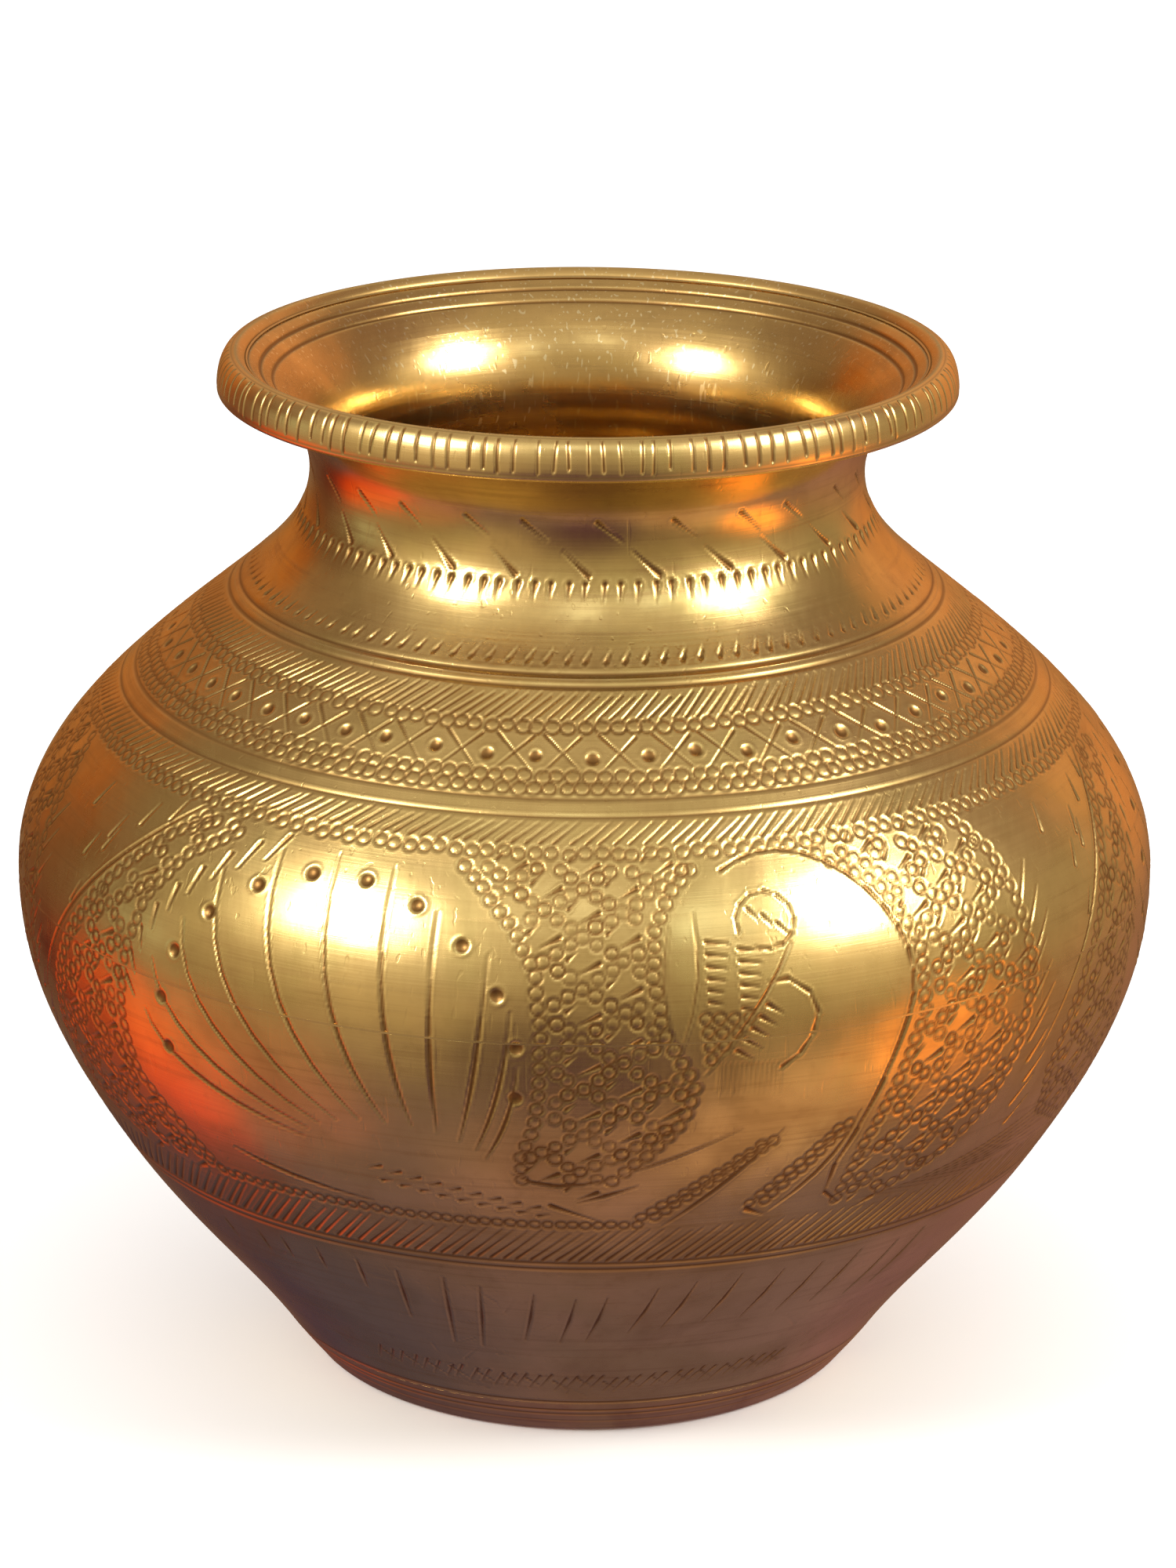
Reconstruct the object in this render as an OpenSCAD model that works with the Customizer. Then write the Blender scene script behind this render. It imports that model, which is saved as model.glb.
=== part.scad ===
// Round brass water pot (lota) with a trumpet mouth and a thick notched rim.
// It is a body of revolution about Z and stands on z = 0. All lengths are in millimetres.
// Four shells and a rim ring are brazed to one another with rabbeted seams.
// The outside of the wall is one chain of smooth curves through the stations named below.
// Each station has a radius, a height and the heading of the wall there, in degrees from outward.

/* [Wall] */
// Thickness of the shells
wall_t = 1.9; // [1.5:0.1:2.4]
// Thickness of the brazing film in every seam
film_t = 0.25; // [0.2:0.05:0.4]
// Overlap of two shells at a rabbeted seam
lap_l = 3.0; // [2:0.5:4]

/* [Foot] */
// Diameter of the flat that the pot stands on
foot_d = 70.8; // [68:0.2:74]
// Height of the seam between the base pan and the lower belly
base_seam_z = 5.7; // [5.2:0.1:6.5]
// Outside diameter at that seam
base_seam_d = 81.6; // [80:0.2:84]
// Rise of the domed middle of the base
base_dome_h = 0.9; // [0.4:0.1:1.5]

/* [Belly] */
// Widest diameter of the belly
belly_d = 149.8; // [144:0.2:156]
// Height of the widest circle, where the two halves of the belly meet
belly_z = 68.5; // [66:0.5:71]
// Height of the double line that closes the engraved field below
low_line_z = 34.3; // [32:0.1:37]
// Outside diameter at that line
low_line_d = 126.0; // [122:0.2:130]
// Height of the double line on the shoulder
shoulder_z = 93.7; // [92:0.1:95.5]
// Outside diameter at that line
shoulder_d = 120.2; // [117:0.2:123]

/* [Neck and mouth] */
// Height of the seam between the shoulder and the neck
neck_seam_z = 105.6; // [104:0.1:107]
// Outside diameter at that seam
neck_seam_d = 92.0; // [89:0.2:95]
// Height of the narrowest circle of the neck
throat_z = 121.0; // [119:0.5:122.5]
// Outside diameter of the narrowest circle
throat_d = 72.2; // [70:0.2:75]
// Whole height of the pot
pot_h = 136.4; // [136:0.1:137]

/* [Rim ring] */
// Outside diameter of the rim ring
rim_d = 96.0; // [95.4:0.2:98]
// Diameter of the rim's crest
crest_d = 91.2; // [90.6:0.2:92]
// Height of the ring from its flat underside to its crest
rim_h = 5.4; // [5.2:0.1:5.6]

/* [Hidden] */
$fn = 96;

brass = [0.83, 0.64, 0.24];
pale_brass = [0.87, 0.72, 0.36];
dark_brass = [0.62, 0.44, 0.22];
spelter = [0.90, 0.80, 0.52];

// A curve's handles are this share of its chord.
handle = 0.36;
// A curve's speed at its ends, in chords per unit of its parameter.
end_speed = 3 * handle;
// Straight steps along each curve.
steps = 10;
// Size of the rounded corner between the foot's flat and the wall.
foot_round = 0.8;
foot_round_run = 1.6;
// The base pan's flat standing ring is this wide.
foot_flat_w = 6;
// Height of the rim's roundest point below its crest.
rim_nose_drop = 4.6;
// Radius of the corner under the rim.
rim_corner = 1.0;
// The flare's edge stops this far below and inside the rim's crest, and its wall leans outward.
flare_edge_drop = 2.7;
flare_edge_inset = 0.6;
flare_heading = 33;
// Where the rim ring's underside meets the flare, measured from the flare's edge.
tuck_run = 3.4;

rim_under_z = pot_h - rim_h;

// Stations of the outside of the wall, from the foot's flat up to the flare's edge.
stations = [
    [foot_d / 2, 0, 0],
    [foot_d / 2 + foot_round_run, foot_round, 52],
    [base_seam_d / 2, base_seam_z, 55],
    [low_line_d / 2, low_line_z, 57.6],
    [belly_d / 2, belly_z, 92],
    [shoulder_d / 2, shoulder_z, 137.6],
    [neck_seam_d / 2, neck_seam_z, 140],
    [throat_d / 2, throat_z, 89],
    [crest_d / 2 - flare_edge_inset - tuck_run, rim_under_z, 41],
    [crest_d / 2 - flare_edge_inset, pot_h - flare_edge_drop, flare_heading],
];

// Names for the stations that carry a seam or end a shell.
at_base_seam = 2;
at_belly_seam = 4;
at_neck_seam = 6;
at_rim_tuck = 8;

function unit(a) = [cos(a), sin(a)];
function at(s) = [s[0], s[1]];

// Point on the cubic curve from station s to station e, at t from 0 to 1.
function curve(s, e, t) =
    let(h = handle * norm(at(e) - at(s)),
        b = at(s) + h * unit(s[2]),
        c = at(e) - h * unit(e[2]),
        u = 1 - t)
    u * u * u * at(s) + 3 * u * u * t * b + 3 * u * t * t * c + t * t * t * at(e);

// Unit vector along that curve, at t.
function along(s, e, t) =
    let(h = handle * norm(at(e) - at(s)),
        b = at(s) + h * unit(s[2]),
        c = at(e) - h * unit(e[2]),
        u = 1 - t,
        d = u * u * (b - at(s)) + 2 * u * t * (c - b) + t * t * (at(e) - c))
    d / norm(d);

// Point on stretch k of the wall, at t, sunk by a depth below the outside.
function wall_point(k, t, depth) =
    let(s = stations[k], e = stations[k + 1], d = along(s, e, t))
    curve(s, e, t) + depth * [-d[1], d[0]];

// Part of stretch k from t0 to t1, sunk by a depth.
function stretch(k, t0, t1, depth) =
    [for (i = [0:steps]) wall_point(k, t0 + (t1 - t0) * i / steps, depth)];

// Whole stretches from station a up to station b, with the first one begun at t0.
function run_up(a, b, t0, depth) =
    [for (k = [a:b - 1]) each stretch(k, k == a ? t0 : 0, 1, depth)];

// The same going back down.
function run_down(a, b, t0, depth) =
    [for (k = [b - 1:-1:a]) each stretch(k, 1, k == a ? t0 : 0, depth)];

// A length along the wall just above station k, as a share of that stretch.
function share(k, length) =
    length / (end_speed * norm(at(stations[k + 1]) - at(stations[k])));

// The two faces of a rabbet's film lie at these depths.
outer_lap = (wall_t - film_t) / 2;
inner_lap = (wall_t + film_t) / 2;

// Top edge of a shell that ends at station k: its inner half stands up as a spigot.
function spigot(k) =
    concat(stretch(k, 0, share(k, lap_l), inner_lap),
           stretch(k, share(k, lap_l), 0, wall_t));

// Bottom edge of a shell that begins at station k: its outer half hangs down as a skirt.
// The list runs from the inside of the wall down and out to the outside.
function skirt(k) =
    stretch(k, share(k, lap_l + film_t), share(k, film_t), outer_lap);

// Shell between the seams at stations a and b.
module shell(a, b)
    rotate_extrude()
        polygon(concat(run_up(a, b, share(a, film_t), 0),
                       spigot(b),
                       run_down(a, b, share(a, lap_l + film_t), wall_t),
                       skirt(a)));

// Brazing metal that fills the rabbet at station k, flush with both faces of the wall.
module braze_ring(k)
    rotate_extrude()
        polygon(concat([wall_point(k, 0, 0), wall_point(k, share(k, film_t), 0)],
                       stretch(k, share(k, film_t), share(k, lap_l + film_t), outer_lap),
                       [wall_point(k, share(k, lap_l + film_t), wall_t)],
                       [wall_point(k, share(k, lap_l), wall_t)],
                       stretch(k, share(k, lap_l), 0, inner_lap)));

// Round pan that makes the foot: a standing ring and a middle domed slightly upward.
module base_pan() {
    flat_r = foot_d / 2 - foot_flat_w;
    dome_edge = [flat_r, 0, 180 - 2 * atan(base_dome_h / flat_r)];
    dome_top = [0, base_dome_h, 180];
    floor_up = [0, wall_t];
    color(dark_brass)
        rotate_extrude()
            polygon(concat([for (i = [steps:-1:0]) curve(dome_edge, dome_top, i / steps)],
                           run_up(0, at_base_seam, 0, 0),
                           spigot(at_base_seam),
                           run_down(1, at_base_seam, 0, wall_t),
                           [for (i = [0:steps]) curve(dome_edge, dome_top, i / steps) + floor_up]));
}

// Brazing metal between the base pan and the lower belly.
module base_seam()
    color(spelter) braze_ring(at_base_seam);

// Lower half of the belly.
module lower_belly()
    color(brass) shell(at_base_seam, at_belly_seam);

// Brazing metal round the widest circle.
module belly_seam()
    color(spelter) braze_ring(at_belly_seam);

// Upper half of the belly, with the shoulder.
module upper_belly()
    color(brass) shell(at_belly_seam, at_neck_seam);

// Brazing metal between the shoulder and the neck.
module neck_seam()
    color(spelter) braze_ring(at_neck_seam);

// Neck, throat and trumpet mouth in one piece, cut square at the flare's edge.
module neck_flare()
    color(pale_brass)
        rotate_extrude()
            polygon(concat(run_up(at_neck_seam, at_rim_tuck + 1, share(at_neck_seam, film_t), 0),
                           run_down(at_neck_seam, at_rim_tuck + 1,
                                    share(at_neck_seam, lap_l + film_t), wall_t),
                           skirt(at_neck_seam)));

// Step from the flare's square edge across the film, along the wall's heading.
function over_edge(depth) =
    wall_point(at_rim_tuck, 1, depth) + film_t * unit(flare_heading);

// Brazing metal between the flare and the rim ring: under the flare and round its square edge.
module rim_seam()
    color(spelter)
        rotate_extrude()
            polygon(concat(stretch(at_rim_tuck, 0, 1, -film_t),
                           [over_edge(-film_t), over_edge(wall_t)],
                           [wall_point(at_rim_tuck, 1, wall_t)],
                           stretch(at_rim_tuck, 1, 0, 0)));

// Thick cast ring round the mouth, seated on the flare's edge.
module rim_ring() {
    inner = over_edge(wall_t);
    lip = [inner[0], inner[1], flare_heading];
    crest = [crest_d / 2, pot_h, 0];
    nose = [rim_d / 2, pot_h - rim_nose_drop, -90];
    corner = [rim_d / 2 - rim_corner, rim_under_z, 180];
    color(brass)
        rotate_extrude()
            polygon(concat(stretch(at_rim_tuck, 0, 1, -film_t),
                           [over_edge(-film_t)],
                           [for (i = [0:steps]) curve(lip, crest, i / steps)],
                           [for (i = [1:steps]) curve(crest, nose, i / steps)],
                           [for (i = [1:steps]) curve(nose, corner, i / steps)]));
}

base_pan();
base_seam();
lower_belly();
belly_seam();
upper_belly();
neck_seam();
neck_flare();
rim_seam();
rim_ring();
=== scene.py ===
import math
import bmesh
import bpy
import numpy as np
from mathutils import Euler, Matrix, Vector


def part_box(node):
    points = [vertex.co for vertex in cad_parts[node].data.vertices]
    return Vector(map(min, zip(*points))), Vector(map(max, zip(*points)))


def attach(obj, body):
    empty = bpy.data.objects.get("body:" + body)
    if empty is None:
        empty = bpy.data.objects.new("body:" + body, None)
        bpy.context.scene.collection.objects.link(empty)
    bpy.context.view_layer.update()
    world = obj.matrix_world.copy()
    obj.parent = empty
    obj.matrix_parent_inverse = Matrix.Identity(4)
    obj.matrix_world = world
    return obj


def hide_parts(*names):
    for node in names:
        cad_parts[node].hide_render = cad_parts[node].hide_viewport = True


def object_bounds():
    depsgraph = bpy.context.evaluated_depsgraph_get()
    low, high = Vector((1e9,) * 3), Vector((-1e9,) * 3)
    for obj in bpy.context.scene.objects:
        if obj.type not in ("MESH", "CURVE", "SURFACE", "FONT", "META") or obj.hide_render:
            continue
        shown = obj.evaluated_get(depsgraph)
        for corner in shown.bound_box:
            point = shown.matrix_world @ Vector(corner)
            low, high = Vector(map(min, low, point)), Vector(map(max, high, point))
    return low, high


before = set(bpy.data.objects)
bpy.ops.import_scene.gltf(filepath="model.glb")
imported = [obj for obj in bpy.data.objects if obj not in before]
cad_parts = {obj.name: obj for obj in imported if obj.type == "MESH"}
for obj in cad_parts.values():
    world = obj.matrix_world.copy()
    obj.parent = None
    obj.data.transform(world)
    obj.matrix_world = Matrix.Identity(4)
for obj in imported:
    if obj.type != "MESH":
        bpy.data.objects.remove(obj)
cad_low, cad_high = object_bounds()

MM = 0.001

# Camera: in front of the pot and above it, on a long lens, looking down about 18 degrees.
# It leans a little, as a hand-set camera does.
camera_distance = 700 * MM
camera_height = 309.4 * MM
camera_pitch = math.radians(18.37)
camera_lean = math.radians(0.42)
lens_length = 127.8
sensor_width = 36
sideways_shift = 0.0019

camera_data = bpy.data.cameras.new("camera")
camera_data.lens = lens_length
camera_data.sensor_width = sensor_width
camera_data.shift_x = sideways_shift
camera_data.clip_start = 50 * MM
camera = bpy.data.objects.new("camera", camera_data)
bpy.context.scene.collection.objects.link(camera)
tilt = Euler((math.pi / 2 - camera_pitch, 0, 0)).to_matrix()
camera.rotation_euler = (tilt @ Matrix.Rotation(camera_lean, 3, "Z")).to_euler()
camera.location = (0, -camera_distance, camera_height)
bpy.context.scene.camera = camera


# Studio: a pale floor, two soft boxes at the front corners and warm, dim walls all round.
# The brass sees the walls; the floor and the backdrop stay plain and pale.
def toward(azimuth, elevation):
    """Unit vector that points at an azimuth (0 is the camera's side, 90 is +X) and an elevation."""
    turn, rise = math.radians(azimuth), math.radians(elevation)
    return (math.sin(turn) * math.cos(rise), -math.cos(turn) * math.cos(rise), math.sin(rise))


def soft_box(name, azimuth, elevation, distance, size, power, colour):
    """Rectangular area light that faces the middle of the pot."""
    data = bpy.data.lights.new(name, "AREA")
    data.shape = "RECTANGLE"
    data.size, data.size_y = size
    data.energy = power
    data.color = colour
    lamp = bpy.data.objects.new(name, data)
    bpy.context.scene.collection.objects.link(lamp)
    direction = np.array(toward(azimuth, elevation))
    middle = np.array([0, 0, cad_high.z / 2])
    sideways = np.cross([0, 0, 1], direction)
    upwards = np.cross(direction, sideways)
    lamp.location = middle + direction * distance
    lamp.rotation_euler = Matrix((sideways, upwards, direction)).transposed().to_euler()
    lamp.visible_camera = False


lamp_distance = 1.3
WARM_WHITE = (1.0, 0.97, 0.92)
soft_box("left_soft_box", -53, 36, lamp_distance, (0.38, 0.38), 9.5, WARM_WHITE)
soft_box("right_soft_box", 64, 38, lamp_distance, (0.36, 0.44), 10.5, WARM_WHITE)

floor_mesh = bpy.data.meshes.new("floor")
floor_half = 4.0
floor_mesh.from_pydata(
    [(-floor_half, -floor_half, 0), (floor_half, -floor_half, 0),
     (floor_half, floor_half, 0), (-floor_half, floor_half, 0)], [], [(0, 1, 2, 3)]
)
floor = bpy.data.objects.new("floor", floor_mesh)
bpy.context.scene.collection.objects.link(floor)
floor_material = bpy.data.materials.new("pale_floor")
floor_material.use_nodes = True
floor_shader = floor_material.node_tree.nodes["Principled BSDF"]
floor_shader.inputs["Base Color"].default_value = (0.95, 0.95, 0.95, 1)
floor_shader.inputs["Roughness"].default_value = 0.9
floor_shader.inputs["Specular IOR Level"].default_value = 0.1
floor_mesh.materials.append(floor_material)
floor.visible_glossy = False

world = bpy.data.worlds.new("studio")
bpy.context.scene.world = world
world.use_nodes = True
sky = world.node_tree
sky.nodes.clear()


def sky_node(kind, **sockets):
    """New node of the studio's walls, with its sockets set or joined."""
    made = sky.nodes.new(kind)
    for key, value in sockets.items():
        socket = made.inputs[int(key[1:])]
        if isinstance(value, bpy.types.NodeSocket):
            sky.links.new(value, socket)
        else:
            socket.default_value = value
    return made


look = sky_node("ShaderNodeTexCoord").outputs["Generated"]
look_axes = sky_node("ShaderNodeSeparateXYZ", _0=look)
rise_share = sky_node("ShaderNodeMapRange", _0=look_axes.outputs["Z"], _1=-1.0, _2=1.0)
# Wall colours from straight down to straight up: place on the ramp, then colour.
WALLS = {
    0.00: (0.17, 0.11, 0.155),
    0.14: (0.20, 0.13, 0.16),
    0.30: (0.27, 0.19, 0.14),
    0.42: (0.33, 0.24, 0.15),
    0.55: (0.38, 0.29, 0.19),
    0.75: (0.52, 0.44, 0.31),
    1.00: (0.48, 0.40, 0.31),
}
ramp = sky_node("ShaderNodeValToRGB", _0=rise_share.outputs["Result"])
ramp.color_ramp.interpolation = "EASE"
while len(ramp.color_ramp.elements) < len(WALLS):
    ramp.color_ramp.elements.new(0.5)
for element, (place, colour) in zip(ramp.color_ramp.elements, WALLS.items()):
    element.position = place
    element.color = (*colour, 1)
walls = ramp.outputs["Color"]

# Softer things that stand round the pot: azimuth, elevation, half width in degrees, colour to add.
GLOWS = [
    (-109, -32, 24, (0.72, 0.00, -0.08)),
    (-76, -34, 26, (0.22, 0.05, 0.00)),
    (-130, -13, 26, (-0.14, -0.15, -0.10)),
    (76, -23, 18, (2.10, 0.64, 0.06)),
    (-40, -8, 24, (0.11, 0.09, 0.06)),
    (49, -44, 27, (0.43, 0.25, 0.11)),
    (-62, 20, 34, (0.18, 0.14, 0.08)),
    (64, 22, 34, (0.24, 0.20, 0.12)),
    (-118, 30, 38, (-0.28, -0.28, -0.21)),
    (116, 40, 34, (-0.27, -0.28, -0.20)),
    (-152, 12, 30, (0.22, -0.01, -0.07)),
    (150, 12, 32, (0.42, 0.09, -0.02)),
    (136, -24, 36, (0.12, 0.03, 0.01)),
    (-142, -46, 34, (-0.11, -0.06, -0.05)),
    (180, 0, 60, (-0.10, -0.11, -0.09)),
    (0, -62, 28, (0.16, 0.08, 0.04)),
    (0, -18, 30, (-0.18, -0.15, -0.07)),
    (-4, 60, 26, (0.20, 0.20, 0.16)),
    (-5, 54, 9, (1.0, 1.15, 1.25)),
    (29, 45, 9, (1.0, 1.15, 1.25)),
    (-100, 2, 12, (0.16, 0.26, 0.22)),
]
for azimuth, elevation, half_width, colour in GLOWS:
    nearness = sky_node("ShaderNodeVectorMath", _0=look, _1=toward(azimuth, elevation))
    nearness.operation = "DOT_PRODUCT"
    edge = math.cos(math.radians(half_width))
    share = sky_node("ShaderNodeMapRange", _0=nearness.outputs["Value"], _1=edge, _2=1.0)
    share.interpolation_type = "SMOOTHSTEP"
    tint = sky_node("ShaderNodeVectorMath", _0=colour, _3=1.0)
    tint.operation = "SCALE"
    sky.links.new(share.outputs["Result"], tint.inputs["Scale"])
    total = sky_node("ShaderNodeVectorMath", _0=walls, _1=tint.outputs["Vector"])
    total.operation = "ADD"
    walls = total.outputs["Vector"]
lit = sky_node("ShaderNodeVectorMath", _0=walls, _1=(0.01, 0.01, 0.01))
lit.operation = "MAXIMUM"
seen_walls = sky_node("ShaderNodeBackground", _0=lit.outputs["Vector"], _1=1.0)
pale_walls = sky_node("ShaderNodeBackground", _0=(1.0, 1.0, 1.0, 1.0), _1=1.02)
ray = sky_node("ShaderNodeLightPath")
either = sky_node("ShaderNodeMixShader", _0=ray.outputs["Is Glossy Ray"],
                  _1=pale_walls.outputs[0], _2=seen_walls.outputs[0])
sky_node("ShaderNodeOutputWorld", _0=either.outputs[0])

bpy.context.scene.view_settings.view_transform = "Standard"


# Base pan: the foot. A round pan raised from brass sheet, flat on its standing ring, with the
# middle domed up a little, and a rabbet round its top where the belly is brazed on.
wall_thickness = 1.9
film = 0.25
lap = 3.0
inner_lap = (wall_thickness + film) / 2
outer_lap = (wall_thickness - film) / 2
pot_height = cad_high.z / MM
belly_radius = (cad_high.x - cad_low.x) / 2 / MM
rim_radius = (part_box("rim_ring")[1].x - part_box("rim_ring")[0].x) / 2 / MM
crest_inset = 2.4
crest_radius = rim_radius - crest_inset
rim_height = 5.4
flare_heading = 33
flare_edge_inset = 0.6
flare_edge_drop = 2.7
tuck_run = 3.4

# Stations of the outside of the wall, from the foot's flat up to the flare's edge:
# radius and height in millimetres, and the way the wall heads there, in degrees from outward.
STATIONS = np.array([
    (35.4, 0.0, 0.0),
    (37.0, 0.8, 52.0),
    (40.8, 5.7, 55.0),
    (63.0, 34.3, 57.6),
    (belly_radius, 68.5, 92.0),
    (60.1, 93.7, 137.6),
    (46.0, 105.6, 140.0),
    (36.1, 121.0, 89.0),
    (crest_radius - flare_edge_inset - tuck_run, pot_height - rim_height, 41.0),
    (crest_radius - flare_edge_inset, pot_height - flare_edge_drop, flare_heading),
])
# Places in that list, and the straight steps along each curve between two of them.
FOOT_ROUND, BASE_SEAM, LOW_LINE, BELLY_SEAM = 1, 2, 3, 4
NECK_SEAM, RIM_TUCK, FLARE_EDGE = 6, 8, 9
STEPS = 240


def cubic(start, end, shares, handle_share=0.36):
    """Cubic curve between two stations: each handle is a share of the chord, along that station's
    heading."""
    a, d = start[:2], end[:2]
    handle = handle_share * np.linalg.norm(d - a)
    leave, arrive = np.radians(start[2]), np.radians(end[2])
    b = a + handle * np.array([math.cos(leave), math.sin(leave)])
    c = d - handle * np.array([math.cos(arrive), math.sin(arrive)])
    t = np.asarray(shares)[:, None]
    return (1 - t) ** 3 * a + 3 * (1 - t) ** 2 * t * b + 3 * (1 - t) * t ** 2 * c + t ** 3 * d


def joined(stations):
    """Points, arc lengths and unit directions along the cubics through some stations."""
    shares = np.linspace(0, 1, STEPS + 1)
    runs = [cubic(a, b, shares)[:-1] for a, b in zip(stations[:-1], stations[1:])]
    points = np.vstack([*runs, stations[-1][None, :2]])
    arcs = np.concatenate([[0], np.cumsum(np.linalg.norm(np.diff(points, axis=0), axis=1))])
    heading = np.gradient(points, arcs, axis=0)
    return points, arcs, heading / np.linalg.norm(heading, axis=1)[:, None]


OUTLINE, ARCS, HEADINGS = joined(STATIONS)
STATION_ARC = ARCS[::STEPS]


def wall_at(arc, depth=0.0):
    """Radius, height and outward normal at an arc length up the wall, sunk by a depth into it."""
    point = np.stack([np.interp(arc, ARCS, OUTLINE[:, k]) for k in (0, 1)], axis=-1)
    heading = np.stack([np.interp(arc, ARCS, HEADINGS[:, k]) for k in (0, 1)], axis=-1)
    heading /= np.linalg.norm(heading, axis=-1, keepdims=True)
    out = np.stack([heading[..., 1], -heading[..., 0]], axis=-1)
    return point - out * np.asarray(depth)[..., None], out


def turned(profile, degrees):
    """Points of a surface of revolution: each profile point (radius, height) at each azimuth.
    Azimuth 0 is the front, at -Y, and it grows towards +X."""
    turn = np.radians(degrees)
    radius, height = profile[:, 0][:, None], profile[:, 1][:, None]
    return np.stack(
        [radius * np.sin(turn), -radius * np.cos(turn), height + 0 * turn], axis=-1
    )


def grid_piece(name, points, normals, around, over, marks):
    """Mesh of a grid of points in millimetres, whose rows run up the outside and columns go round.
    around joins the last column to the first. over joins the last row to the first, and the two
    end columns of such a ring that doesn't go round are closed with flat caps."""
    rows, columns = points.shape[:2]
    number = np.arange(rows * columns).reshape(rows, columns)
    up = np.vstack([number, number[:1]]) if over else number
    full = np.hstack([up, up[:, :1]]) if around else up
    quads = np.stack([full[:-1, :-1], full[:-1, 1:], full[1:, 1:], full[1:, :-1]], axis=-1)
    corners = quads.ravel()
    starts = np.arange(quads.size // 4) * 4
    if over and not around:
        ends = [number[:, 0], number[::-1, -1]]
        starts = np.concatenate([starts, len(corners) + np.arange(2) * rows])
        corners = np.concatenate([corners, *ends])
    mesh = bpy.data.meshes.new(name)
    mesh.vertices.add(rows * columns)
    mesh.vertices.foreach_set("co", (points * MM).astype(np.float32).ravel())
    mesh.loops.add(len(corners))
    mesh.loops.foreach_set("vertex_index", corners.astype(np.int32))
    mesh.polygons.add(len(starts))
    mesh.polygons.foreach_set("loop_start", starts.astype(np.int32))
    mesh.polygons.foreach_set("use_smooth", np.ones(len(starts), bool))
    for key, values in marks.items():
        attribute = mesh.attributes.new(key, "FLOAT", "POINT")
        attribute.data.foreach_set("value", np.asarray(values, np.float32).ravel())
    mesh.update(calc_edges=True)
    if normals is not None:
        mesh.normals_split_custom_set_from_vertices(normals.reshape(-1, 3).tolist())
    piece = bpy.data.objects.new(name, mesh)
    bpy.context.scene.collection.objects.link(piece)
    return piece


def node(tree, kind, settings=None, **sockets):
    """New node of a material: settings are its own choices, and sockets are set or joined by name."""
    made = tree.nodes.new(kind)
    for key, value in (settings or {}).items():
        setattr(made, key, value)
    for key, value in sockets.items():
        title = key.replace("_", " ")
        socket = made.inputs[int(key[1:])] if key[0] == "_" else made.inputs[title]
        if isinstance(value, bpy.types.NodeSocket):
            tree.links.new(value, socket)
        else:
            socket.default_value = value
    return made


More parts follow.
